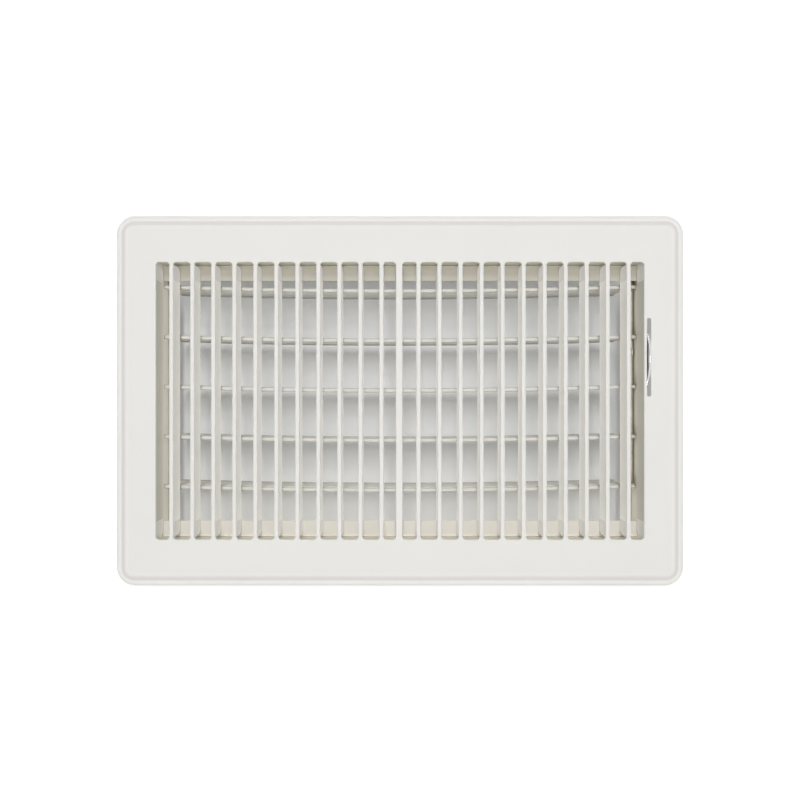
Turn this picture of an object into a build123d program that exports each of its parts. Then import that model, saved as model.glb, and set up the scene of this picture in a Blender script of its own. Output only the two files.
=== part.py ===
from build123d import *
import os
from math import asin, cos, degrees, radians, sin

# Floor register: a slotted sheet-steel face over a damper box with five linked blades.
# Millimetres. +X runs along the face, +Y across it, +Z up out of the floor.
# The origin is at the middle of the lower edges of the damper box.

# Face plate
face_length = 292.1
face_width = 190.5
face_corner_radius = 9.5
face_sheet = 0.8
rim_height = 5.4
lip_width = 2.2
lip_round = 1.1
step_width = 3.2
step_height = 2.0
step_cove = 2.6
panel_round = 3.4

# Slots and bars
end_border = 21.05
side_border = 24.25
bars_per_side = 11
bar_width = 2.15
end_slot_width = 6.8
centre_bar_width = 3.4
centre_bar_shift = -0.4
centre_slot_width = 6.75
slot_corner_radius = 1.5
slot_edge_roll = 0.55
leg_depth = 10.0
leg_end_relief = 1.2
leg_corner_radius = 2.5

# Damper box
box_depth = 47.0
end_wall_depth = 38.0
wall_sheet = 0.6
wall_bend = 0.6
side_wall_clearance = 1.0
flange_width = 9.0
flange_setback = 2.0
corner_tab_width = 10.0
corner_tab_drop = 7.0
baffle_depth = 11.0
baffle_width = 8.5
baffle_leg = 9.0
baffle_end_gap = 0.2

# Blades and their pivots
blade_count = 5
first_blade_gap = 11.3
last_bay_trim = 0.2
blade_tip_clearance = 0.2
pivot_depth = 14.5
blade_sheet = 0.5
blade_bow = 2.0
bead_radius = 1.2
rib_radius = 0.7
rib_drop = 7.0
hem_width = 4.0
hem_thickness = 1.1
blade_end_gap = 0.4
crank_seat_gap = 0.1
pivot_pin_radius = 1.0
pivot_pin_proud = 0.1
pivot_pin_root = 5.0
running_clearance = 0.05

# Linkage
travel = 84.0
crank_radius = 6.0
crank_sheet = 1.0
crank_width = 4.4
crank_pin_radius = 1.0
link_sheet = 1.0
link_width = 5.0
link_end = 3.5
link_wall_gap = 0.8
link_crank_gap = 1.0

# Thumb wheel
wheel_radius = 25.5
wheel_proud = 2.0
wheel_y = 22.3
wheel_sheet = 1.4
wheel_sector = 140.0
wheel_hub_radius = 9.5
wheel_teeth = 46
tooth_depth = 0.5
wheel_pin_radius = 1.2
wheel_slot_length = 40.3
wheel_slot_clearance = 0.4
washer_sheet = 0.3
washer_radius = 4.4
rivet_radius = 2.0
rivet_head_radius = 3.4
rivet_head_height = 0.8
rivet_tail_height = 0.5

# Corner rivets
corner_rivet_radius = 1.5
corner_head_radius = 2.5
corner_head_height = 0.6
corner_rivet_inset = 5.0
corner_rivet_depths = (15.0, 31.0)

# Levels and stations worked out from the sizes above
face_top = box_depth
panel_under = face_top - face_sheet
field_length = face_length - 2 * end_border
field_width = face_width - 2 * side_border
half_field = field_length / 2
end_inner = half_field + face_sheet
end_outer = end_inner + wall_sheet
side_inner = field_width / 2 + side_wall_clearance
pivot_z = face_top - pivot_depth
first_pivot_y = side_inner - first_blade_gap
blade_pitch = (side_inner + first_pivot_y + last_bay_trim) / blade_count
blade_width = blade_pitch - bead_radius - blade_tip_clearance
pivot_ys = [first_pivot_y - blade_pitch * index for index in range(blade_count)]
pin_hole_radius = pivot_pin_radius + running_clearance
wheel_z = face_top + wheel_proud - wheel_radius
wheel_inner = end_outer + washer_sheet
wheel_outer = wheel_inner + wheel_sheet
rivet_hole_radius = rivet_radius + running_clearance
link_outer = end_inner - link_wall_gap
link_inner = link_outer - link_sheet
crank_outer = link_inner - link_crank_gap
crank_inner = crank_outer - crank_sheet
blade_left = -(end_inner - corner_head_height - blade_end_gap)
blade_right = crank_inner - crank_seat_gap

# At rest every crank leans back by half the travel from straight down
crank_y = crank_radius * sin(radians(travel / 2))
crank_z = -crank_radius * cos(radians(travel / 2))


def across(x, y, z, shape):
    """Stand a sketch drawn in (Y, Z) up at station x, moved to (y, z)."""
    return Plane.YZ.offset(x) * (Pos(y, z) * shape)


def disc(x_from, x_to, y, z, radius):
    """Round bar along X between two stations."""
    return extrude(across(x_from, y, z, Circle(radius)), amount=x_to - x_from)


def angle_section(reach, drop, sheet, bend):
    """L section with its outside corner at the origin: one leg to +X, the other to -Y."""
    corners = [(0, 0), (reach, 0), (reach, -sheet), (sheet, -sheet), (sheet, -drop), (0, -drop)]
    section = make_face(Polyline(*corners, close=True))
    section = fillet(section.vertices().sort_by_distance((0, 0))[0], bend + sheet)
    return fillet(section.vertices().sort_by_distance((sheet, -sheet))[0], bend)


def rounded_plate(inset, z):
    """Outline of the face drawn in by an inset, laid at a height."""
    outline = RectangleRounded(
        face_length - 2 * inset, face_width - 2 * inset, face_corner_radius - inset
    )
    return Plane.XY.offset(z) * outline


def tray(inset, lip_edge, cove, panel_edge):
    """Stepped tray form of the face, drawn in and lowered by an inset: lip, sloped step, panel."""
    rim_bottom = face_top - rim_height
    lip_top = face_top - step_height - inset
    lip = extrude(rounded_plate(inset, rim_bottom), amount=lip_top - rim_bottom)
    lip = fillet(lip.faces().sort_by(Axis.Z)[-1].edges(), lip_edge)
    step_foot = rounded_plate(lip_width + inset, lip_top)
    step_head = rounded_plate(lip_width + step_width + inset, face_top - inset)
    form = lip + loft([step_foot.face(), step_head.face()])
    lip_face = form.faces().filter_by(Axis.Z).filter_by(lambda face: face.inner_wires()).face()
    form = fillet(lip_face.inner_wires()[0].edges(), cove)
    return fillet(form.faces().filter_by(Axis.Z).sort_by(Axis.Z)[-1].edges(), panel_edge)


def bar_spans():
    """Left edge, right edge and leg side of every bar, from left to right."""
    first_outer = centre_bar_width / 2 + centre_slot_width + bar_width
    last_outer = half_field - end_slot_width
    pitch = (last_outer - first_outer) / (bars_per_side - 1)
    outers = [first_outer + pitch * index for index in range(bars_per_side)]
    left = [(-outer, bar_width - outer, 1) for outer in reversed(outers)]
    centre = (centre_bar_shift - centre_bar_width / 2, centre_bar_shift + centre_bar_width / 2, 0)
    right = [(outer - bar_width, outer, -1) for outer in outers]
    return left + [centre] + right


def slots(bars):
    """One rounded slot in each gap between the bars and the ends of the field."""
    lefts = [-half_field] + [bar[1] for bar in bars]
    rights = [bar[0] for bar in bars] + [half_field]
    outlines = []
    for left, right in zip(lefts, rights):
        outline = RectangleRounded(right - left, field_width, slot_corner_radius)
        outlines.append(Pos((left + right) / 2, 0) * outline)
    sketch = Plane.XY.offset(panel_under) * (Sketch() + outlines)
    return extrude(sketch, amount=2 * face_sheet, both=True)


def legs(bars):
    """Legs folded down from the bars' inner edges and from both ends of the field."""
    top = face_top - slot_edge_roll
    height = top - (face_top - leg_depth)
    outline = Rectangle(field_width - 2 * leg_end_relief, height)
    outline = fillet(outline.vertices().group_by(Axis.Y)[0], leg_corner_radius)
    leg = extrude(across(0, 0, top - height / 2, outline), amount=face_sheet)
    stations = [right - face_sheet for left, right, side in bars if side > 0]
    stations += [left for left, right, side in bars if side < 0]
    stations += [-half_field - face_sheet, half_field]
    return [Pos(station, 0, 0) * leg for station in stations]


def make_face_plate():
    """Pressed face: stepped rim, slots with rolled edges, folded legs and the wheel slot."""
    outer = tray(0, lip_round, step_cove, panel_round)
    inner = tray(face_sheet, lip_round - face_sheet, step_cove + face_sheet, panel_round - face_sheet)
    bars = bar_spans()
    plate = outer - inner - slots(bars)
    panel = plate.faces().filter_by(Axis.Z).sort_by(Axis.Z)[-1]
    edges = [edge for wire in panel.inner_wires() for edge in wire.edges()]
    plate = fillet(edges, slot_edge_roll) + legs(bars)
    wheel_slot = SlotOverall(wheel_slot_length, wheel_sheet + 2 * wheel_slot_clearance)
    middle = (wheel_inner + wheel_outer) / 2
    cutter = Plane.XY.offset(panel_under) * (Pos(middle, wheel_y) * Rot(0, 0, 90) * wheel_slot)
    return plate - extrude(cutter, amount=2 * face_sheet, both=True)


def corner_rivet_places():
    """Y and depth of the corner rivets of one end wall."""
    reach = side_inner - corner_rivet_inset
    return [(side * reach, depth) for side in (-1, 1) for depth in corner_rivet_depths]


def make_end_wall():
    """End wall at the +X end: plate, flange under the face, pivot holes and rivet holes."""
    plate = Rectangle(2 * side_inner, end_wall_depth - face_sheet)
    wall = extrude(
        across(end_inner, 0, panel_under - (end_wall_depth - face_sheet) / 2, plate), amount=wall_sheet
    )
    flange_half = side_inner - corner_tab_width - flange_setback
    section = angle_section(flange_width, 2 * flange_setback, wall_sheet, wall_bend)
    flange = extrude(Plane.XZ * Pos(end_inner, panel_under) * section, amount=flange_half, both=True)
    bend_room = Pos(end_inner, 0, panel_under) * Box(wall_sheet * 2, 2 * flange_half, 2 * flange_setback)
    wall = wall - bend_room + flange
    holes = [disc(end_inner, end_outer, y, pivot_z, pin_hole_radius) for y in pivot_ys]
    for y, depth in corner_rivet_places():
        radius = corner_rivet_radius + running_clearance
        holes.append(disc(end_inner, end_outer, y, face_top - depth, radius))
    return wall - holes


def make_end_wall_right():
    """End wall beside the wheel: flange notched for the wheel, rivet hole and crank slot."""
    notch_half = wheel_slot_length / 2
    notch = Box(2 * flange_width, 2 * notch_half, 2 * flange_setback)
    wall = make_end_wall() - Pos(end_outer + flange_width, wheel_y, panel_under) * notch
    wall -= disc(end_inner, end_outer, wheel_y, wheel_z, rivet_hole_radius)
    sweep_start = -90 - travel / 2
    slot_width = 2 * wheel_pin_radius + 4 * wheel_slot_clearance
    crank_slot = SlotArc(CenterArc((0, 0), crank_radius, sweep_start, travel), slot_width)
    return wall - extrude(across(end_inner, wheel_y, wheel_z, crank_slot), amount=wall_sheet)


def make_side_wall():
    """Long wall at +Y: flange out under the face, plain lower edge, a tab round each end wall."""
    section = angle_section(flange_width, panel_under, wall_sheet, wall_bend)
    half_length = end_outer + wall_sheet
    wall = extrude(across(0, side_inner, panel_under, section), amount=half_length, both=True)
    tab_height = end_wall_depth - corner_tab_drop
    tab_z = face_top - end_wall_depth + tab_height / 2
    tab_y = side_inner + wall_sheet - (corner_tab_width + wall_sheet) / 2
    for side in (-1, 1):
        tab = Pos(side * (end_outer + wall_sheet / 2), tab_y, tab_z)
        wall += tab * Box(wall_sheet, corner_tab_width + wall_sheet, tab_height)
        for y, depth in corner_rivet_places()[len(corner_rivet_depths):]:
            start = min(side * end_outer, side * half_length)
            radius = corner_rivet_radius + running_clearance
            wall -= disc(start, start + wall_sheet, y, face_top - depth, radius)
    return wall


def make_baffle_angle():
    """Angle along the long wall at +Y: a level ledge inwards and a leg down the wall."""
    section = angle_section(baffle_width, baffle_leg, wall_sheet, wall_bend)
    section = mirror(section, about=Plane.YZ)
    placed = across(0, side_inner, face_top - baffle_depth, section)
    return extrude(placed, amount=end_inner - baffle_end_gap, both=True)


def bowed(section):
    """Carry a blade section, drawn in (Y, Z) about its pivot, round the blade's long gentle bow.

    The bow is an arc from pivot to pivot, bowed to -Y midway, so its centre lies far out to +Y.
    """
    half_span = (blade_right - blade_left) / 2
    middle = (blade_left + blade_right) / 2
    arc_radius = (half_span**2 + blade_bow**2) / (2 * blade_bow)
    half_turn = degrees(asin(half_span / arc_radius))
    centre_line = Axis((middle, arc_radius - blade_bow, 0), (0, 0, 1))
    placed = across(middle, -blade_bow, pivot_z, section)
    return revolve(placed.rotate(centre_line, -half_turn), axis=centre_line, revolution_arc=2 * half_turn)


def make_blade(y):
    """Blade hung from its rolled bead, with a rib, a hem and a pivot pin at each end."""
    section = Pos(0, -blade_width / 2) * Rectangle(blade_sheet, blade_width)
    section += Circle(bead_radius)
    section += Pos(0, -rib_drop) * Circle(rib_radius)
    section += Pos(0, hem_width / 2 - blade_width) * Rectangle(hem_thickness, hem_width)
    blade = bowed(section)
    pin_reach = end_outer + pivot_pin_proud
    blade += disc(-pin_reach, blade_left + pivot_pin_root, 0, pivot_z, pivot_pin_radius)
    blade += disc(blade_right - pivot_pin_root, pin_reach, 0, pivot_z, pivot_pin_radius)
    return Pos(0, y, 0) * blade


def make_crank_arm(y):
    """Arm on a blade's right end, with the pin that drives it."""
    lean = travel / 2 - 90
    outline = Rot(0, 0, lean) * Pos(crank_radius / 2, 0) * SlotCenterToCenter(crank_radius, crank_width)
    arm = extrude(across(crank_inner, y, pivot_z, outline), amount=crank_sheet)
    arm -= disc(crank_inner, crank_outer, y, pivot_z, pin_hole_radius)
    pin_tip = link_outer + running_clearance
    return arm + disc(crank_inner, pin_tip, y + crank_y, pivot_z + crank_z, crank_pin_radius)


def make_link_bar():
    """Flat bar over the five crank pins, with a lug down to the wheel's pin."""
    pin_ys = [y + crank_y for y in pivot_ys]
    bar_z = pivot_z + crank_z
    length = pin_ys[0] - pin_ys[-1] + 2 * link_end
    outline = Pos((pin_ys[0] + pin_ys[-1]) / 2, bar_z) * SlotOverall(length, link_width)
    lug_y = wheel_y + crank_y
    lug_z = wheel_z + crank_z
    lug = SlotCenterToCenter(bar_z - lug_z, 2 * link_end)
    outline += Pos(lug_y, (bar_z + lug_z) / 2) * Rot(0, 0, 90) * lug
    bar = extrude(across(link_inner, 0, 0, outline), amount=link_sheet)
    hole_radius = crank_pin_radius + running_clearance
    holes = [disc(link_inner, link_outer, y, bar_z, hole_radius) for y in pin_ys]
    holes.append(disc(link_inner, link_outer, lug_y, lug_z, wheel_pin_radius + running_clearance))
    return bar - holes


def make_thumb_wheel():
    """Toothed sector with a round hub and the crank pin that goes in to the link."""
    middle_angle = 90 + travel / 2
    start = middle_angle - wheel_sector / 2
    rim = CenterArc((0, 0), wheel_radius, start, wheel_sector)
    outline = make_face([rim, Line((0, 0), rim @ 0), Line((0, 0), rim @ 1)])
    outline += Circle(wheel_hub_radius)
    tooth_pitch = wheel_sector / wheel_teeth
    half_gap = wheel_radius * radians(tooth_pitch) / 4
    gap = make_face(
        Polyline(
            (wheel_radius - tooth_depth, 0),
            (wheel_radius + tooth_depth, 2 * half_gap),
            (wheel_radius + tooth_depth, -2 * half_gap),
            close=True,
        )
    )
    gaps = [Rot(0, 0, start + tooth_pitch * (index + 0.5)) * gap for index in range(wheel_teeth)]
    outline = outline - gaps - Circle(rivet_hole_radius)
    wheel = extrude(across(wheel_inner, wheel_y, wheel_z, outline), amount=wheel_sheet)
    pin_tip = link_inner - running_clearance
    return wheel + disc(pin_tip, wheel_outer, wheel_y + crank_y, wheel_z + crank_z, wheel_pin_radius)


def make_wheel_rivet():
    """Rivet that the wheel turns on, with a tail inside the wall and a domed head outside."""
    head_seat = wheel_outer + running_clearance
    rivet = disc(end_inner - rivet_tail_height, end_inner, wheel_y, wheel_z, rivet_head_radius)
    rivet += disc(end_inner - rivet_tail_height, head_seat, wheel_y, wheel_z, rivet_radius)
    head = disc(head_seat, head_seat + rivet_head_height, wheel_y, wheel_z, rivet_head_radius)
    head = fillet(head.faces().sort_by(Axis.X)[-1].edges(), rivet_head_height / 2)
    return rivet + head


def make_friction_washer():
    """Flat washer between the end wall and the wheel."""
    ring = Circle(washer_radius) - Circle(rivet_hole_radius)
    return extrude(across(end_outer, wheel_y, wheel_z, ring), amount=washer_sheet)


def make_corner_rivets():
    """Two rivets at each corner, through the folded tab and the end wall."""
    tab_outer = end_outer + wall_sheet
    rivets = []
    for y, depth in corner_rivet_places():
        z = face_top - depth
        rivet = disc(end_inner - corner_head_height, tab_outer, y, z, corner_rivet_radius)
        rivet += disc(end_inner - corner_head_height, end_inner, y, z, corner_head_radius)
        rivet += disc(tab_outer, tab_outer + corner_head_height, y, z, corner_head_radius)
        rivets.append(rivet)
        rivets.append(mirror(rivet, about=Plane.YZ))
    return Compound(children=rivets)


def make_pieces():
    """Every piece of the register by the name of its node."""
    side_wall = make_side_wall()
    baffle = make_baffle_angle()
    pieces = {
        "face_plate": make_face_plate(),
        "end_wall_left": mirror(make_end_wall(), about=Plane.YZ),
        "end_wall_right": make_end_wall_right(),
        "side_wall_back": side_wall,
        "side_wall_front": mirror(side_wall, about=Plane.XZ),
        "baffle_angle_back": baffle,
        "baffle_angle_front": mirror(baffle, about=Plane.XZ),
        "link_bar": make_link_bar(),
        "thumb_wheel": make_thumb_wheel(),
        "wheel_rivet": make_wheel_rivet(),
        "friction_washer": make_friction_washer(),
        "corner_rivets": make_corner_rivets(),
    }
    for number, y in enumerate(pivot_ys, start=1):
        pieces[f"damper_blade_{number}"] = make_blade(y)
        pieces[f"crank_arm_{number}"] = make_crank_arm(y)
    return pieces


os.makedirs("parts", exist_ok=True)
for node, piece in make_pieces().items():
    export_step(piece, f"parts/{node}.step")
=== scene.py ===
"""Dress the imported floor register: enamel, zinc and bright plate, on a white floor."""
from math import cos, radians, sin

import bpy
import numpy as np
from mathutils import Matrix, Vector


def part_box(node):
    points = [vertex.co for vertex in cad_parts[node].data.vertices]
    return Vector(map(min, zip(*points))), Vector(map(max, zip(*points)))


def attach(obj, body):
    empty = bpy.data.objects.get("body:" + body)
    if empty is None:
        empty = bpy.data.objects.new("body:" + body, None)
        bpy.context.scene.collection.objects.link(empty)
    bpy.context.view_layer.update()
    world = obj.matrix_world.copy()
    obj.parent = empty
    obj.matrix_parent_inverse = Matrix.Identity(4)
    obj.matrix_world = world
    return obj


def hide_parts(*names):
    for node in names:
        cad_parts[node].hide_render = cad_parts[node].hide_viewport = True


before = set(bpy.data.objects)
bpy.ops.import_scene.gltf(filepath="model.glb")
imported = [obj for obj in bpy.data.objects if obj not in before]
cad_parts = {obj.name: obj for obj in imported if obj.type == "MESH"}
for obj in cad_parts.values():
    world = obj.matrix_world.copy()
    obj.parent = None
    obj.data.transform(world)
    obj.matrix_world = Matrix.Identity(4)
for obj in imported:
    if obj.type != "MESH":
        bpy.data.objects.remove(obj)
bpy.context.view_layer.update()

bl_info = {
    "name": "Floor Register Dressing",
    "version": (1, 0, 0),
    "blender": (4, 5, 0),
    "location": "View3D > Sidebar > Register",
    "description": "Finishes and studio for a sheet-steel floor register",
    "category": "Object",
}

BLACK = (0.0, 0.0, 0.0, 1.0)
WHITE = (1.0, 1.0, 1.0, 1.0)

# Corners of the CAD pieces' boxes, in metres, as all lengths below but the film's are.
FACE_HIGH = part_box("face_plate")[1]
FACE_TOP = FACE_HIGH[2]
END_WALL_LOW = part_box("end_wall_right")[0]
SIDE_WALL_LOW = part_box("side_wall_back")[0]
BAFFLE_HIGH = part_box("baffle_angle_back")[1]
WHEEL_LOW, WHEEL_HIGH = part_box("thumb_wheel")

# CAD nodes that are finished or lit alike.
BLADES = [node for node in sorted(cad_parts) if node.startswith("damper_blade")]
CRANKS = [node for node in sorted(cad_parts) if node.startswith("crank_arm")]
END_WALLS = ["end_wall_left", "end_wall_right"]
LONG_WALLS = ["side_wall_back", "side_wall_front"]
BACK_BAFFLE = "baffle_angle_back"
FRONT_BAFFLE = "baffle_angle_front"
FASTENERS = ["wheel_rivet", "friction_washer", "corner_rivets"]

# Thumb wheel, as in the part's source: its sheet, its axis and crank pin in Y and Z, and the
# direction of the middle of its sector.
WHEEL_SHEET = 0.0014
WHEEL_AXIS = (0.0223, 0.0235)
WHEEL_PIN = (0.026315, 0.019041)
WHEEL_MIDDLE = radians(132.0)

# Points of the wheel: stations across the crown, steps round the hub and the pin, and the four
# points of a tooth, as shares of the pitch from its middle and shares of the tooth depth. The hub
# starts a share of a pitch past the sector, and edges past an angle stay sharp.
CROWN_STATIONS = 13
HUB_STEPS = 72
PIN_STEPS = 32
TOOTH_SHARES = np.array([-0.5, -0.25, 0.0, 0.25])
TOOTH_DEPTHS = np.array([0.0, 0.0, 1.0, 0.0])
EDGE_SHARE = 0.05
SHARP_ANGLE = radians(12.0)

# Span of a noise that carries nearly all of its values, and detail of a plain, fine noise.
NOISE_LOW, NOISE_HIGH = 0.3, 0.7
FINE_DETAIL = 2.0

# Faint clouding of the enamel: its pattern, its two tones, and its share in the face's coat.
CLOUD_SCALE, CLOUD_DETAIL = 28.0, 4.0
CLOUD_DARK, CLOUD_PALE = 0.975, 1.025
CLOUDING = 0.25

# Face: painted shade and painted highlight as factors on its colour, the corner radius of its
# outline, and the level between the two at distances inwards from the outline, as shares of that
# radius: painted highlights on the lip's folds and painted shade on the step.
RIM_SHADE, RIM_HIGHLIGHT = 0.92, 1.12
CORNER_RADIUS = 0.0095
RIM_LIGHT_STOPS = [
    (0.17, 0.4),
    (0.2, 0.85),
    (0.31, 0.85),
    (0.34, 0.15),
    (0.54, 0.15),
    (0.58, 0.5),
    (0.74, 0.5),
    (0.78, 0.4),
]

# Legs of the bars, and folds at both ends of the row of slots: depth below the face's top where
# they start, room kept between the legs and the end wall, the painted shade on the folds and on the
# legs' middles, and where along a leg the painted light grows to full towards its ends.
ROLL_DEPTH = 0.0006
LEG_MARGIN = 0.0015
FOLD_AND_LEG_SHADE = 0.88
LEG_MIDDLE, LEG_END = 0.05, 0.064

# Blades: factor of the darkest painted shade, heights of the hem, the bead and its crest, the level
# between that painted shade and the full colour on each, and the lengths over which it changes.
BLADE_SHADE = 0.62
HEM_HEIGHT, BEAD_HEIGHT, CREST_HEIGHT = 0.0042, 0.0022, 0.0003
HEM_LEVEL, BEAD_LEVEL, CREST_LEVEL = 0.33, 0.1, 0.45
SHADE_FADE, CREST_FADE = 0.0002, 0.0001

# Baffles: painted light on the leg and its reach from the long wall, the painted shade and painted
# light on the back ledge, and the reach from the wall over which one turns into the other.
BAFFLE_LEG_LIGHT = 1.35
BAFFLE_LEG_REACH = 0.0012
LEDGE_SHADE, LEDGE_LIGHT = 0.85, 1.3
LEDGE_LIGHT_REACH = 0.005

# Enamel: change of roughness, pebbled surface, gloss, and specks as cells to the metre, a radius in
# cells, the solid core of a speck, and the share of cells with a speck.
GLOSS_SCALE = 140.0
SMOOTHER, ROUGHER = 0.05, 0.06
PEBBLE_SCALE, PEBBLE_DEPTH = 900.0, 0.00004
ENAMEL_SPECULAR = 0.1
SPECK_CELLS, SPECK_RADIUS, SPECK_CORE = 55.0, 0.022, 0.6
FACE_SPECKS, INNER_SPECKS = 0.02, 0.16

# Zinc: clouds of tarnish and their tint, range of roughness, grain, and share of metal.
TARNISH_SCALE, TARNISH_DETAIL, TARNISH_ROUGH = 160.0, 5.0, 0.65
TARNISH_LOW, TARNISH_HIGH = 0.35, 0.7
TARNISH_TINT = (0.62, 0.54, 0.42)
ZINC_SMOOTH, ZINC_ROUGH = 0.34, 0.55
ZINC_GRAIN, ZINC_GRAIN_DEPTH = 1500.0, 0.00003
ZINC_METAL = 0.4

# Bright plate: scale and tone of the rubbing marks, and range of roughness.
RUB_SCALE = 700.0
RUBBED_TONE = 0.93
PLATE_SMOOTH, PLATE_ROUGH = 0.06, 0.16

# Floor: grain and gloss of the paper, where its white starts and is full at the face's outline,
# and where its painted light, a faint glow, starts beside the long walls and at the ends.
PAPER_SCALE, PAPER_TONE = 300.0, 0.985
PAPER_ROUGHNESS, PAPER_SPECULAR = 0.9, 0.1
LIFT_INSET, LIFT_MARGIN = 0.002, 0.0145
NEAR_WALL = 0.7
END_BAND = 0.012

# Lamps, sky and camera: distances and sizes of the lamps, place and reach of the bounce in the box,
# blur of the mirrored wall's edge, and width of the film in millimetres.
KEY_REACH, KEY_SIZE = 1.4, (0.3, 0.7)
SIDE_REACH, SIDE_SIZE = 1.2, (0.4, 0.6)
SOFT_SIZE = (0.3, 0.4)
BOUNCE_DEPTH, BOUNCE_INSET, BOUNCE_REACH = 0.02, 0.001, 0.02
WALL_BLUR = 0.04
SENSOR_WIDTH = 36.0


class RegisterFinish(bpy.types.PropertyGroup):
    """Colours and roughness of the register's finishes."""

    face_colour: bpy.props.FloatVectorProperty(
        name="Face enamel",
        description="Baked enamel on the face plate",
        subtype="COLOR",
        size=3,
        default=(0.787, 0.776, 0.745),
    )
    # Painted shade: a darker, browner copy of the face's enamel, for the shade inside the box.
    shaded_inner_colour: bpy.props.FloatVectorProperty(
        name="Inner enamel",
        description="Enamel on the walls of the box and the folds at both ends of the row of slots",
        subtype="COLOR",
        size=3,
        default=(0.71, 0.69, 0.6),
    )
    # Painted light: lighter than the face's enamel, standing in for light on the legs of the bars.
    lit_leg_colour: bpy.props.FloatVectorProperty(
        name="Leg enamel",
        description="Thicker enamel on the folded legs of the bars",
        subtype="COLOR",
        size=3,
        default=(0.95, 0.93, 0.88),
    )
    blade_colour: bpy.props.FloatVectorProperty(
        name="Blade enamel",
        description="Enamel on the damper blades",
        subtype="COLOR",
        size=3,
        default=(0.82, 0.805, 0.76),
    )
    # Painted shade: darker and browner than the front baffle's enamel, for the shade over the back
    # ledge.
    shaded_back_baffle_colour: bpy.props.FloatVectorProperty(
        name="Back baffle",
        description="Thin, brownish enamel on the baffle angle at the back",
        subtype="COLOR",
        size=3,
        default=(0.595, 0.57, 0.5),
    )
    front_baffle_colour: bpy.props.FloatVectorProperty(
        name="Front baffle",
        description="Enamel on the baffle angle at the front",
        subtype="COLOR",
        size=3,
        default=(0.71, 0.682, 0.626),
    )
    zinc_colour: bpy.props.FloatVectorProperty(
        name="Zinc",
        description="Dull zinc on the cranks, the link, the washer and the rivets",
        subtype="COLOR",
        size=3,
        default=(0.66, 0.62, 0.54),
    )
    plate_colour: bpy.props.FloatVectorProperty(
        name="Bright plate",
        description="Bright plate on the thumb wheel",
        subtype="COLOR",
        size=3,
        default=(0.82, 0.82, 0.83),
    )
    speck_colour: bpy.props.FloatVectorProperty(
        name="Specks",
        description="Dark specks in the enamel",
        subtype="COLOR",
        size=3,
        default=(0.1, 0.085, 0.065),
    )
    enamel_roughness: bpy.props.FloatProperty(
        name="Enamel roughness",
        description="Roughness of the baked enamel",
        default=0.45,
        min=0.0,
        max=1.0,
        subtype="FACTOR",
    )


class RegisterWheel(bpy.types.PropertyGroup):
    """Sizes of the thumb wheel's toothed, crowned rim."""

    radius: bpy.props.FloatProperty(
        name="Radius",
        description="Radius over the teeth",
        default=0.0255,
        unit="LENGTH",
    )
    sector: bpy.props.FloatProperty(
        name="Sector",
        description="Angle of the toothed sector",
        default=radians(140.0),
        subtype="ANGLE",
    )
    teeth: bpy.props.IntProperty(
        name="Teeth",
        description="Number of gaps in the rim",
        default=46,
        min=1,
    )
    tooth_depth: bpy.props.FloatProperty(
        name="Tooth depth",
        description="Depth of a gap",
        default=0.0005,
        unit="LENGTH",
    )
    hub_radius: bpy.props.FloatProperty(
        name="Hub radius",
        description="Radius of the round hub",
        default=0.0095,
        unit="LENGTH",
    )
    hole_radius: bpy.props.FloatProperty(
        name="Hole radius",
        description="Radius of the rivet's hole",
        default=0.00205,
        unit="LENGTH",
    )
    pin_radius: bpy.props.FloatProperty(
        name="Pin radius",
        description="Radius of the crank pin",
        default=0.0012,
        unit="LENGTH",
    )
    crown_radius: bpy.props.FloatProperty(
        name="Crown radius",
        description="Radius of the crown across the edge of the sheet",
        default=0.001,
        unit="LENGTH",
    )


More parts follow.
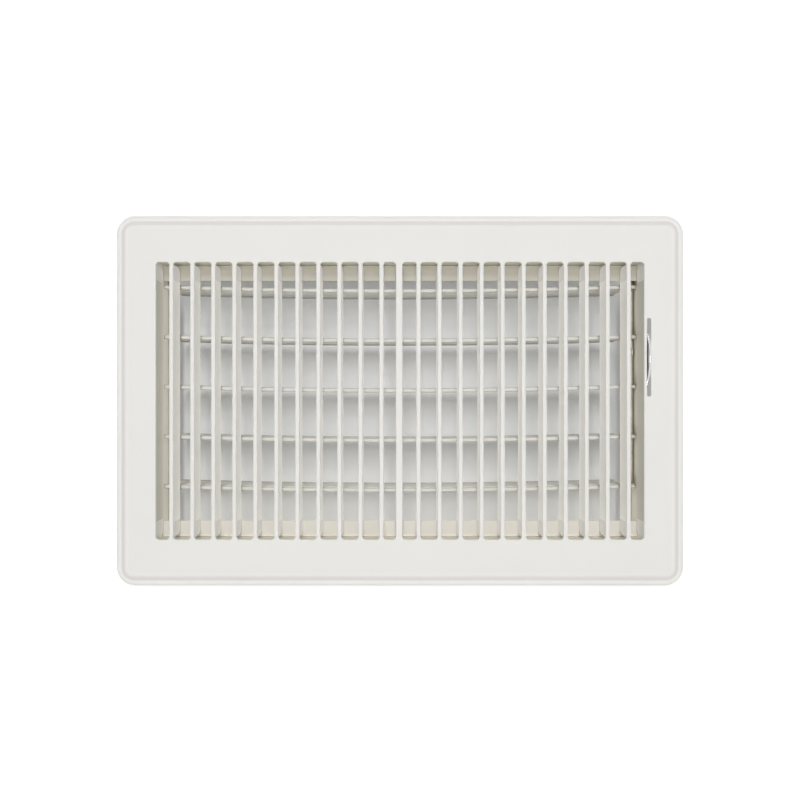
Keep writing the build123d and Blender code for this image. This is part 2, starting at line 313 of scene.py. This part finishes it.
class RegisterStage(bpy.types.PropertyGroup):
    """Camera, lamps and floor."""

    camera_height: bpy.props.FloatProperty(
        name="Camera height",
        description="Height of the camera above the face",
        default=0.32,
        unit="LENGTH",
    )
    camera_offset: bpy.props.FloatProperty(
        name="Camera offset",
        description="Distance of the camera from the middle of the face, to the back",
        default=0.00045,
        unit="LENGTH",
    )
    picture_width: bpy.props.FloatProperty(
        name="Picture width",
        description="Width that the picture covers at the face",
        default=0.4092,
        unit="LENGTH",
    )
    floor_size: bpy.props.FloatProperty(
        name="Floor size",
        description="Length of a side of the floor",
        default=6.0,
        unit="LENGTH",
    )
    floor_colour: bpy.props.FloatVectorProperty(
        name="Floor",
        description="White paper floor",
        subtype="COLOR",
        size=3,
        default=(0.855, 0.865, 0.88),
    )
    floor_lift: bpy.props.FloatProperty(
        name="Floor lift",
        description="Share of the paper's own shading that plain white replaces round the register",
        default=0.8,
        min=0.0,
        max=1.0,
        subtype="FACTOR",
    )
    floor_glow: bpy.props.FloatProperty(
        name="Floor white",
        description="Strength of the plain white in the floor round the register",
        default=0.9,
    )
    # Painted light: a glow on the floor that shows beside the back wall.
    back_painted_light: bpy.props.FloatProperty(
        name="Floor lift at the back",
        description="White added to the floor that shows beside the back wall",
        default=0.2,
        min=0.0,
        max=1.0,
        subtype="FACTOR",
    )
    # Painted light: a glow on the floor that shows beside the front wall.
    front_painted_light: bpy.props.FloatProperty(
        name="Floor lift at the front",
        description="White added to the floor that shows beside the front wall",
        default=0.06,
        min=0.0,
        max=1.0,
        subtype="FACTOR",
    )
    # Painted light: a glow on the floor that shows under the end walls.
    end_painted_light: bpy.props.FloatProperty(
        name="Floor lift under the ends",
        description="White added to the floor that shows under the end walls",
        default=0.14,
        min=0.0,
        max=1.0,
        subtype="FACTOR",
    )
    sky_strength: bpy.props.FloatProperty(
        name="Sky",
        description="Strength of the even light from all sides",
        default=0.25,
    )
    wall_edge: bpy.props.FloatProperty(
        name="White wall",
        description="Lean to the right, as a sine, past which the mirrored room is white",
        default=-0.6,
    )
    wall_level: bpy.props.FloatProperty(
        name="White wall level",
        description="Strength of the mirrored white wall",
        default=0.95,
        min=0.0,
        max=1.0,
        subtype="FACTOR",
    )
    key_power: bpy.props.FloatProperty(
        name="Key lamp",
        description="Power of the long soft lamp over the back edge",
        default=9.3,
        unit="POWER",
    )
    key_tilt: bpy.props.FloatProperty(
        name="Key tilt",
        description="Lean of the key lamp from overhead towards the back",
        default=radians(22.0),
        subtype="ANGLE",
    )
    side_power: bpy.props.FloatProperty(
        name="Side lamps",
        description="Power of each of the two lamps at the ends",
        default=1.7,
        unit="POWER",
    )
    top_power: bpy.props.FloatProperty(
        name="Top lamp",
        description="Power of the soft lamp straight above",
        default=2.3,
        unit="POWER",
    )
    fill_power: bpy.props.FloatProperty(
        name="Fill lamp",
        description="Power of the low lamp at the front",
        default=2.6,
        unit="POWER",
    )
    bounce_power: bpy.props.FloatProperty(
        name="Bounce",
        description="Power of the light thrown back up between the bars",
        default=0.079,
        unit="POWER",
    )
    side_tilt: bpy.props.FloatProperty(
        name="Side tilt",
        description="Lean of the side and fill lamps from overhead",
        default=radians(60.0),
        subtype="ANGLE",
    )


class NodeSheet:
    """Short way to lay out one procedural material."""

    def __init__(self, name):
        self.material = bpy.data.materials.new(name)
        self.material.use_nodes = True
        self.tree = self.material.node_tree
        self.shader = self.tree.nodes["Principled BSDF"]
        self.place = self.add("ShaderNodeTexCoord").outputs["Object"]

    def add(self, kind, inputs=None, **settings):
        """Add a node, set its own settings and fill or link its inputs."""
        node = self.tree.nodes.new(kind)
        for key, value in settings.items():
            setattr(node, key, value)
        for key, value in (inputs or {}).items():
            self.feed(node.inputs[key], value)
        return node

    def feed(self, socket, value):
        """Link an output into a socket, or set the socket's own value."""
        if isinstance(value, bpy.types.NodeSocket):
            self.tree.links.new(value, socket)
        else:
            socket.default_value = value

    def fill(self, **values):
        """Fill the shader's sockets, named with underscores for spaces."""
        for key, value in values.items():
            self.feed(self.shader.inputs[key.replace("_", " ")], value)

    def vector(self, operation, *inputs):
        """One step of arithmetic on vectors."""
        return self.add("ShaderNodeVectorMath", dict(enumerate(inputs)), operation=operation).outputs

    def folded(self):
        """Place on the piece with its signs dropped, so that opposite sides are alike."""
        return self.vector("ABSOLUTE", self.place)["Vector"]

    def parts(self, vector):
        """X, Y and Z of a vector."""
        return self.add("ShaderNodeSeparateXYZ", {"Vector": vector}).outputs

    def noise(self, scale, detail=3.0, rough=0.55):
        """Soft cloud of values about one half at a scale per metre."""
        inputs = {"Vector": self.place, "Scale": scale, "Detail": detail, "Roughness": rough}
        return self.add("ShaderNodeTexNoise", inputs).outputs["Fac"]

    def remap(self, value, low, high, to_low, to_high):
        """Carry a value from one range to another, held at both ends."""
        inputs = {"Value": value, "From Min": low, "From Max": high, "To Min": to_low, "To Max": to_high}
        return self.add("ShaderNodeMapRange", inputs).outputs["Result"]

    def blend(self, factor, first, second):
        """Mix two colours; the node has its colours at inputs 6 and 7 and at output 2."""
        return self.add("ShaderNodeMix", {0: factor, 6: first, 7: second}, data_type="RGBA").outputs[2]

    def math(self, operation, first, second=0.0):
        """One step of arithmetic."""
        return self.add("ShaderNodeMath", {0: first, 1: second}, operation=operation).outputs[0]

    def specks(self, cells, radius, share):
        """Round specks: one to a cell of the pattern, kept in a share of the cells."""
        inputs = {"Vector": self.place, "Scale": cells, "Randomness": 1.0}
        cell = self.add("ShaderNodeTexVoronoi", inputs)
        dot = self.remap(cell.outputs["Distance"], radius, radius * SPECK_CORE, 0.0, 1.0)
        pick = self.add("ShaderNodeSeparateColor", {"Color": cell.outputs["Color"]}).outputs[0]
        kept = self.math("LESS_THAN", pick, share)
        return self.math("MULTIPLY", dot, kept)

    def ramp(self, value, stops):
        """Carry a value from 0 to 1 through a list of places and levels."""
        node = self.add("ShaderNodeValToRGB", {"Fac": value})
        elements = node.color_ramp.elements
        while len(elements) < len(stops):
            elements.new(0.5)
        for element, (place, level) in zip(elements, stops):
            element.position = place
            element.color = (level, level, level, 1.0)
        return node.outputs["Color"]

    def bump(self, height, distance):
        """Relief of a given depth in metres."""
        inputs = {"Height": height, "Distance": distance, "Strength": 1.0}
        return self.add("ShaderNodeBump", inputs).outputs["Normal"]


def colour4(colour):
    """Colour with full alpha."""
    return (colour[0], colour[1], colour[2], 1.0)


def shade(colour, factor):
    """Colour made lighter or darker by one factor, with full alpha."""
    return colour4([min(1.0, channel * factor) for channel in colour[:3]])


def clouded(sheet, colour):
    """Enamel colour with faint clouding."""
    cloud = sheet.noise(CLOUD_SCALE, CLOUD_DETAIL)
    return sheet.blend(cloud, shade(colour, CLOUD_DARK), shade(colour, CLOUD_PALE))


def edge_distance(sheet):
    """Distance inwards from the rounded outline of the face, up to its corner radius."""
    inner = (FACE_HIGH[0] - CORNER_RADIUS, FACE_HIGH[1] - CORNER_RADIUS, 1.0)
    past = sheet.vector("SUBTRACT", sheet.folded(), inner)["Vector"]
    past = sheet.vector("MAXIMUM", past, (0.0, 0.0, 0.0))["Vector"]
    reach = sheet.vector("LENGTH", past)["Value"]
    return sheet.math("SUBTRACT", CORNER_RADIUS, reach)


def face_coat(sheet, colour, fold_colour, lit_leg_colour):
    """Face enamel, with painted highlights on the lip's folds and painted shade on the step.

    Below the face's top, the folds at both ends of the row of slots have painted shade, and the legs
    of the bars have painted light, with less of it in their middles.
    """
    inward = sheet.math("DIVIDE", edge_distance(sheet), CORNER_RADIUS)
    cloud = sheet.math("SUBTRACT", sheet.noise(CLOUD_SCALE, CLOUD_DETAIL), 0.5)
    # Painted highlights on the lip's folds and painted shade on the step, with a little random clouding.
    depth = sheet.math("ADD", sheet.ramp(inward, RIM_LIGHT_STOPS), sheet.math("MULTIPLY", cloud, CLOUDING))
    coat = sheet.blend(depth, shade(colour, RIM_SHADE), shade(colour, RIM_HIGHLIGHT))
    side, along, height = sheet.parts(sheet.folded())
    low = sheet.remap(height, FACE_TOP - ROLL_DEPTH, FACE_TOP - 2 * ROLL_DEPTH, 0.0, 1.0)
    beyond_y = sheet.math("SUBTRACT", along, SIDE_WALL_LOW[1])
    at_end = sheet.remap(along, LEG_MIDDLE, LEG_END, 0.0, 1.0)
    # Painted light on the legs, less of it in their middles, and painted shade on the folds.
    leg = sheet.blend(at_end, shade(lit_leg_colour, FOLD_AND_LEG_SHADE), colour4(lit_leg_colour))
    fold = shade(fold_colour, FOLD_AND_LEG_SHADE)
    for reach, below in ((END_WALL_LOW[0], fold), (END_WALL_LOW[0] - LEG_MARGIN, leg)):
        beyond_x = sheet.math("SUBTRACT", side, reach)
        inside = sheet.math("LESS_THAN", sheet.math("MAXIMUM", beyond_x, beyond_y), 0.0)
        coat = sheet.blend(sheet.math("MULTIPLY", low, inside), coat, below)
    return coat


def blade_coat(sheet, colour):
    """Blade enamel by height.

    It is full on the sheet, darker on the hem, and has painted shade on the bead, less on its crest.
    """
    heights = np.array(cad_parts[BLADES[0]].bound_box)[:, 2]
    low, high = heights.min(), heights.max()
    tall = high - low
    stops = [
        (0.0, HEM_LEVEL),
        (HEM_HEIGHT, HEM_LEVEL),
        (HEM_HEIGHT + SHADE_FADE, 1.0),
        (tall - BEAD_HEIGHT - SHADE_FADE, 1.0),
        (tall - BEAD_HEIGHT, BEAD_LEVEL),
        (tall - CREST_HEIGHT, BEAD_LEVEL),
        (tall - CREST_HEIGHT + CREST_FADE, CREST_LEVEL),
    ]
    # Painted shade on the bead, less of it on the crest, and a darker hem.
    height = sheet.remap(sheet.parts(sheet.place)[2], low, high, 0.0, 1.0)
    level = sheet.ramp(height, [(place / tall, value) for place, value in stops])
    return sheet.blend(level, shade(colour, BLADE_SHADE), colour4(colour))


def leg_coat(sheet, ledge, colour):
    """Coat of a baffle's ledge, with painted light on the leg that lies against the long wall."""
    along = sheet.parts(sheet.folded())[1]
    # Painted light on the leg against the long wall.
    on_leg = sheet.math("GREATER_THAN", along, BAFFLE_HIGH[1] - BAFFLE_LEG_REACH)
    return sheet.blend(on_leg, ledge, shade(colour, BAFFLE_LEG_LIGHT))


def front_baffle_coat(sheet, colour):
    """Front baffle's enamel: clouded, with painted light on the leg."""
    return leg_coat(sheet, clouded(sheet, colour), colour)


def back_baffle_coat(sheet, colour):
    """Back baffle's enamel: clouded, with painted shade at the ledge's free edge that turns into painted
    light towards the wall, and painted light on the leg.
    """
    along = sheet.parts(sheet.folded())[1]
    # Painted shade at the ledge's free edge, turning into painted light towards the wall.
    to_wall = sheet.remap(along, BAFFLE_HIGH[1] - LEDGE_LIGHT_REACH, BAFFLE_HIGH[1], 0.0, 1.0)
    shaded_ledge = clouded(sheet, shade(colour, LEDGE_SHADE))
    lit_ledge = clouded(sheet, shade(colour, LEDGE_LIGHT))
    return leg_coat(sheet, sheet.blend(to_wall, shaded_ledge, lit_ledge), colour)


def enamel(sheet, base, speck_colour, roughness, speck_share):
    """Baked enamel over a base colour: a fine pebble in the gloss and a few dark specks."""
    specks = sheet.specks(SPECK_CELLS, SPECK_RADIUS, speck_share)
    patches = sheet.noise(GLOSS_SCALE)
    smooth, rough = roughness - SMOOTHER, roughness + ROUGHER
    sheet.fill(
        Base_Color=sheet.blend(specks, base, colour4(speck_colour)),
        Roughness=sheet.remap(patches, NOISE_LOW, NOISE_HIGH, smooth, rough),
        Normal=sheet.bump(sheet.noise(PEBBLE_SCALE, FINE_DETAIL), PEBBLE_DEPTH),
        Specular_IOR_Level=ENAMEL_SPECULAR,
    )
    return sheet.material


def zinc(name, colour):
    """Dull zinc plate: grey metal with cloudy, slightly brown tarnish."""
    sheet = NodeSheet(name)
    cloud = sheet.noise(TARNISH_SCALE, TARNISH_DETAIL, TARNISH_ROUGH)
    stained = sheet.remap(cloud, TARNISH_LOW, TARNISH_HIGH, 0.0, 1.0)
    tarnish = colour4([channel * tint for channel, tint in zip(colour, TARNISH_TINT)])
    sheet.fill(
        Base_Color=sheet.blend(stained, colour4(colour), tarnish),
        Roughness=sheet.remap(cloud, NOISE_LOW, NOISE_HIGH, ZINC_SMOOTH, ZINC_ROUGH),
        Normal=sheet.bump(sheet.noise(ZINC_GRAIN, FINE_DETAIL), ZINC_GRAIN_DEPTH),
        Metallic=ZINC_METAL,
    )
    return sheet.material


def bright_plate(name, colour):
    """Bright plate: mirror metal with faint rubbing marks."""
    sheet = NodeSheet(name)
    rub = sheet.noise(RUB_SCALE)
    sheet.fill(
        Base_Color=sheet.blend(rub, shade(colour, RUBBED_TONE), colour4(colour)),
        Roughness=sheet.remap(rub, NOISE_LOW, NOISE_HIGH, PLATE_SMOOTH, PLATE_ROUGH),
        Metallic=1.0,
    )
    return sheet.material


def finish_nodes(nodes, material):
    """Put one finish on the named CAD nodes."""
    for node in nodes:
        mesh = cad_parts[node].data
        mesh.materials.clear()
        mesh.materials.append(material)


def new_piece(name, points, faces):
    """Object at the origin from a list of points and faces."""
    mesh = bpy.data.meshes.new(name)
    mesh.from_pydata(points, [], faces)
    mesh.update()
    piece = bpy.data.objects.new(name, mesh)
    bpy.context.scene.collection.objects.link(piece)
    return piece


def loop_faces(rows, columns, closed_rows):
    """Four-sided faces of a grid whose columns close on themselves, and whose rows may."""
    index = np.arange(rows * columns).reshape(rows, columns)
    beside = np.roll(index, -1, axis=1)
    if closed_rows:
        above, above_beside = np.roll(index, -1, axis=0), np.roll(beside, -1, axis=0)
    else:
        index, beside, above, above_beside = index[:-1], beside[:-1], index[1:], beside[1:]
    return np.stack([index, beside, above_beside, above], axis=-1).reshape(-1, 4)


def wheel_outline(wheel):
    """Angles and radii of the wheel's outline, once round its axis.

    Each pitch of the sector has four points at the full radius, apart from the one in its middle,
    which is lower by the tooth depth. Past the sector the outline is the circle of the hub.
    """
    pitch = wheel.sector / wheel.teeth
    start = WHEEL_MIDDLE - wheel.sector / 2
    end = start + wheel.sector
    middles = start + pitch * (np.arange(wheel.teeth) + 0.5)
    rim_angles = np.append((middles[:, None] + pitch * TOOTH_SHARES).ravel(), end)
    tooth_radii = np.tile(wheel.radius - wheel.tooth_depth * TOOTH_DEPTHS, wheel.teeth)
    rim_radii = np.append(tooth_radii, wheel.radius)
    edge = EDGE_SHARE * pitch
    hub_angles = np.linspace(end + edge, start + 2 * np.pi - edge, HUB_STEPS)
    hub_radii = np.full(HUB_STEPS, wheel.hub_radius)
    return np.append(rim_angles, hub_angles), np.append(rim_radii, hub_radii)


def crowned_sheet(wheel):
    """Points of the wheel's sheet, as loops from one side of it to the other.

    At each station across the sheet, the outline's radius is lower by the fall of a circular crown
    at that distance from the middle of the sheet. The first and the last loop are the rivet's hole.
    """
    angles, radii = wheel_outline(wheel)
    across = np.linspace(-0.5, 0.5, CROWN_STATIONS) * WHEEL_SHEET
    fall = wheel.crown_radius - np.sqrt(wheel.crown_radius**2 - across**2)
    hole = np.full((1, radii.size), wheel.hole_radius)
    loops = np.concatenate([hole, radii - fall[:, None], hole])
    stations = np.concatenate([across[:1], across, across[-1:]]) + WHEEL_HIGH[0] - WHEEL_SHEET / 2
    points = np.empty(loops.shape + (3,))
    points[:, :, 0] = stations[:, None]
    points[:, :, 1] = WHEEL_AXIS[0] + loops * np.cos(angles)
    points[:, :, 2] = WHEEL_AXIS[1] + loops * np.sin(angles)
    return points


def crank_pin(wheel):
    """Points of the crank pin: a circle carried along X from the pin's tip to the sheet."""
    turn = np.linspace(0.0, 2 * np.pi, PIN_STEPS, endpoint=False)
    points = np.empty((2, PIN_STEPS, 3))
    points[:, :, 0] = [[WHEEL_LOW[0]], [WHEEL_HIGH[0] - WHEEL_SHEET]]
    points[:, :, 1] = WHEEL_PIN[0] + wheel.pin_radius * np.cos(turn)
    points[:, :, 2] = WHEEL_PIN[1] + wheel.pin_radius * np.sin(turn)
    return points


class REGISTER_OT_sheet_metal(bpy.types.Operator):
    """Enamel the face, the box, the baffles and the blades"""

    bl_idname = "register.sheet_metal"
    bl_label = "Enamel the sheet metal"

    def execute(self, context):
        finish = context.scene.register_finish
        specks, roughness = finish.speck_colour, finish.enamel_roughness
        sheet = NodeSheet("face_enamel")
        coat = face_coat(sheet, finish.face_colour, finish.shaded_inner_colour, finish.lit_leg_colour)
        finish_nodes(["face_plate"], enamel(sheet, coat, specks, roughness, FACE_SPECKS))
        coats = (
            ("inner_enamel", clouded, finish.shaded_inner_colour, END_WALLS + LONG_WALLS),
            ("blade_enamel", blade_coat, finish.blade_colour, BLADES),
            ("back_baffle_enamel", back_baffle_coat, finish.shaded_back_baffle_colour, [BACK_BAFFLE]),
            ("front_baffle_enamel", front_baffle_coat, finish.front_baffle_colour, [FRONT_BAFFLE]),
        )
        for name, make_coat, colour, nodes in coats:
            sheet = NodeSheet(name)
            coat = make_coat(sheet, colour)
            finish_nodes(nodes, enamel(sheet, coat, specks, roughness, INNER_SPECKS))
        return {"FINISHED"}


class REGISTER_OT_linkage(bpy.types.Operator):
    """Zinc the cranks, the link bar, the washer and the rivets"""

    bl_idname = "register.linkage"
    bl_label = "Zinc the linkage"

    def execute(self, context):
        finish = context.scene.register_finish
        finish_nodes(CRANKS + ["link_bar"] + FASTENERS, zinc("zinc_plate", finish.zinc_colour))
        return {"FINISHED"}


class REGISTER_OT_thumb_wheel(bpy.types.Operator):
    """Make the plated thumb wheel: a toothed, crowned sheet with a crank pin on its inner side"""

    bl_idname = "register.thumb_wheel"
    bl_label = "Make the thumb wheel"

    def execute(self, context):
        wheel = context.scene.register_wheel
        sheet = crowned_sheet(wheel)
        pin = crank_pin(wheel)
        points = np.concatenate([sheet.reshape(-1, 3), pin.reshape(-1, 3)])
        rows, columns = sheet.shape[:2]
        first = rows * columns
        tip = np.arange(first, first + PIN_STEPS)
        faces = loop_faces(rows, columns, closed_rows=True).tolist()
        faces += (loop_faces(2, PIN_STEPS, closed_rows=False) + first).tolist()
        faces.append(tip[::-1].tolist())
        faces.append((tip + PIN_STEPS).tolist())
        piece = new_piece("plated_wheel", points.tolist(), faces)
        piece.data.shade_smooth()
        piece.data.set_sharp_from_angle(angle=SHARP_ANGLE)
        plate = bright_plate("bright_plate", context.scene.register_finish.plate_colour)
        piece.data.materials.append(plate)
        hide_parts("thumb_wheel")
        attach(piece, "thumb_wheel")
        return {"FINISHED"}


def floor_material(stage):
    """White paper.

    To the camera, to mirrors and through glass, it turns to plain white outside the face, and under
    the face a faint glow of painted light is added beside the long walls and towards the ends.
    """
    sheet = NodeSheet("white_paper")
    path = sheet.add("ShaderNodeLightPath").outputs
    seen = sheet.math("MAXIMUM", path["Is Camera Ray"], path["Is Glossy Ray"])
    seen = sheet.math("MAXIMUM", seen, path["Is Transmission Ray"])
    side, along, _ = sheet.parts(sheet.folded())
    beyond_x = sheet.math("SUBTRACT", side, FACE_HIGH[0])
    beyond_y = sheet.math("SUBTRACT", along, FACE_HIGH[1])
    beyond = sheet.math("MAXIMUM", beyond_x, beyond_y)
    outside = sheet.remap(beyond, -LIFT_INSET, LIFT_MARGIN, 0.0, 1.0)
    lifted = sheet.math("MULTIPLY", sheet.math("MULTIPLY", outside, seen), stage.floor_lift)
    glow = sheet.math("MULTIPLY", outside, stage.floor_glow)
    depth = sheet.parts(sheet.place)[1]
    wall = SIDE_WALL_LOW[1]
    # Painted light: a glow on the shaded floor beside the long walls and under the end walls.
    near_back = sheet.remap(depth, NEAR_WALL * wall, wall, 0.0, stage.back_painted_light)
    near_front = sheet.remap(depth, -NEAR_WALL * wall, -wall, 0.0, stage.front_painted_light)
    near_end = sheet.remap(side, END_WALL_LOW[0] - END_BAND, FACE_HIGH[0], 0.0, stage.end_painted_light)
    lift = sheet.math("MAXIMUM", sheet.math("MAXIMUM", near_back, near_front), near_end)
    grain = sheet.noise(PAPER_SCALE, FINE_DETAIL)
    paper = sheet.blend(grain, shade(stage.floor_colour, PAPER_TONE), colour4(stage.floor_colour))
    sheet.fill(
        Base_Color=sheet.blend(lifted, paper, BLACK),
        Roughness=PAPER_ROUGHNESS,
        Specular_IOR_Level=PAPER_SPECULAR,
        Emission_Color=WHITE,
        Emission_Strength=sheet.math("MULTIPLY", seen, sheet.math("MAXIMUM", lift, glow)),
    )
    return sheet.material


def area_lamp(name, place, aim, size, power, mirrored=True):
    """Soft rectangular lamp at a place, turned to an aim, that may be left out of reflections."""
    lamp = bpy.data.lights.new(name, "AREA")
    lamp.shape = "RECTANGLE"
    lamp.size, lamp.size_y = size
    lamp.energy = power
    carrier = bpy.data.objects.new(name, lamp)
    carrier.location = place
    direction = np.array(aim) - np.array(place)
    carrier.rotation_euler = Vector(direction).to_track_quat("-Z", "Y").to_euler()
    carrier.visible_glossy = mirrored
    bpy.context.scene.collection.objects.link(carrier)
    return carrier


def studio_sky(stage):
    """Even sky, white to the camera, that mirrors as a room dark at the left and white elsewhere."""
    world = bpy.data.worlds.new("studio")
    world.use_nodes = True
    nodes, links = world.node_tree.nodes, world.node_tree.links
    parts = nodes.new("ShaderNodeSeparateXYZ")
    links.new(nodes.new("ShaderNodeTexCoord").outputs["Generated"], parts.inputs[0])
    wall = nodes.new("ShaderNodeMapRange")
    links.new(parts.outputs[0], wall.inputs["Value"])
    wall.inputs["From Min"].default_value = stage.wall_edge - WALL_BLUR
    wall.inputs["From Max"].default_value = stage.wall_edge + WALL_BLUR
    wall.inputs["To Max"].default_value = stage.wall_level
    path = nodes.new("ShaderNodeLightPath")
    mirrored, seen = nodes.new("ShaderNodeMix"), nodes.new("ShaderNodeMix")
    links.new(path.outputs["Is Glossy Ray"], mirrored.inputs["Factor"])
    mirrored.inputs["A"].default_value = stage.sky_strength
    links.new(wall.outputs["Result"], mirrored.inputs["B"])
    links.new(path.outputs["Is Camera Ray"], seen.inputs["Factor"])
    links.new(mirrored.outputs["Result"], seen.inputs["A"])
    seen.inputs["B"].default_value = 1.0
    links.new(seen.outputs["Result"], nodes["Background"].inputs["Strength"])
    nodes["Background"].inputs["Color"].default_value = WHITE
    return world


def light_only(lamp, nodes):
    """Let a lamp light the named CAD nodes and nothing else."""
    lit = bpy.data.collections.new(lamp.name + "_lights")
    for node in nodes:
        lit.objects.link(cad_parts[node])
    lamp.light_linking.receiver_collection = lit


def pass_through(lamp, nodes):
    """Let a lamp's light pass through the named CAD nodes without a shadow."""
    passed = bpy.data.collections.new(lamp.name + "_passes")
    for node in nodes:
        passed.objects.link(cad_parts[node])
    for member in passed.collection_objects:
        member.light_linking.link_state = "EXCLUDE"
    lamp.light_linking.blocker_collection = passed


def spare_floor(lamp, floor):
    """Keep a lamp's light off the floor, so that it lights only the register."""
    spared = bpy.data.collections.new(lamp.name + "_spares")
    spared.objects.link(floor)
    spared.collection_objects[0].light_linking.link_state = "EXCLUDE"
    lamp.light_linking.receiver_collection = spared


class REGISTER_OT_stage(bpy.types.Operator):
    """Lay the floor and set the lamps, the sky and the camera"""

    bl_idname = "register.stage"
    bl_label = "Set the stage"

    def execute(self, context):
        scene = context.scene
        stage = scene.register_stage
        half = stage.floor_size / 2
        corners = [(-half, -half, 0.0), (half, -half, 0.0), (half, half, 0.0), (-half, half, 0.0)]
        floor = new_piece("floor", corners, [(0, 1, 2, 3)])
        floor.data.materials.append(floor_material(stage))
        self.set_lamps(stage, floor)
        scene.world = studio_sky(stage)
        camera = bpy.data.cameras.new("camera")
        camera.sensor_width = SENSOR_WIDTH
        camera.lens = camera.sensor_width * stage.camera_height / stage.picture_width
        carrier = bpy.data.objects.new("camera", camera)
        carrier.location = (0.0, stage.camera_offset, FACE_TOP + stage.camera_height)
        carrier.rotation_euler = (0.0, 0.0, 0.0)
        scene.collection.objects.link(carrier)
        scene.camera = carrier
        scene.view_settings.view_transform = "Standard"
        return {"FINISHED"}

    def set_lamps(self, stage, floor):
        """Set the key, side, top and fill lamps, and the bounce inside the box."""
        middle = (0.0, 0.0, FACE_TOP)
        key = (0.0, KEY_REACH * sin(stage.key_tilt), FACE_TOP + KEY_REACH * cos(stage.key_tilt))
        area_lamp("key", key, middle, KEY_SIZE, stage.key_power, mirrored=False)
        out = SIDE_REACH * sin(stage.side_tilt)
        height = FACE_TOP + SIDE_REACH * cos(stage.side_tilt)
        for name, place in (("left", (-out, 0.0, height)), ("right", (out, 0.0, height))):
            lamp = area_lamp(name, place, middle, SIDE_SIZE, stage.side_power, mirrored=False)
            spare_floor(lamp, floor)
        area_lamp("top", (0.0, 0.0, FACE_TOP + SIDE_REACH), middle, SOFT_SIZE, stage.top_power)
        area_lamp("fill", (0.0, -out, height), middle, SOFT_SIZE, stage.fill_power)
        size = (2 * (END_WALL_LOW[0] - BOUNCE_INSET), 2 * (SIDE_WALL_LOW[1] + BOUNCE_REACH))
        below = (0.0, 0.0, FACE_TOP - BOUNCE_DEPTH)
        bounce = area_lamp("bounce", below, middle, size, stage.bounce_power)
        bounce.visible_camera = False
        light_only(bounce, ["face_plate", *END_WALLS, FRONT_BAFFLE])
        pass_through(bounce, [*BLADES, *LONG_WALLS, BACK_BAFFLE, FRONT_BAFFLE])


class REGISTER_PT_panel(bpy.types.Panel):
    """Sidebar panel with the finishes, the wheel and the stage"""

    bl_idname = "REGISTER_PT_panel"
    bl_label = "Floor register"
    bl_space_type = "VIEW_3D"
    bl_region_type = "UI"
    bl_category = "Register"

    def draw(self, context):
        layout = self.layout
        scene = context.scene
        for group in (scene.register_finish, scene.register_wheel, scene.register_stage):
            box = layout.box()
            for name in group.__annotations__:
                box.prop(group, name)
        for operator in OPERATORS:
            layout.operator(operator.bl_idname)


OPERATORS = (
    REGISTER_OT_sheet_metal,
    REGISTER_OT_linkage,
    REGISTER_OT_thumb_wheel,
    REGISTER_OT_stage,
)
CLASSES = (RegisterFinish, RegisterWheel, RegisterStage) + OPERATORS + (REGISTER_PT_panel,)


def register():
    """Register the classes and hang the settings on the scene."""
    for item in CLASSES:
        bpy.utils.register_class(item)
    bpy.types.Scene.register_finish = bpy.props.PointerProperty(type=RegisterFinish)
    bpy.types.Scene.register_wheel = bpy.props.PointerProperty(type=RegisterWheel)
    bpy.types.Scene.register_stage = bpy.props.PointerProperty(type=RegisterStage)


def unregister():
    """Take the settings off the scene and unregister the classes."""
    del bpy.types.Scene.register_stage
    del bpy.types.Scene.register_wheel
    del bpy.types.Scene.register_finish
    for item in reversed(CLASSES):
        bpy.utils.unregister_class(item)


def main():
    """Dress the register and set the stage."""
    register()
    bpy.ops.register.sheet_metal()
    bpy.ops.register.linkage()
    bpy.ops.register.thumb_wheel()
    bpy.ops.register.stage()


if __name__ == "__main__":
    main()
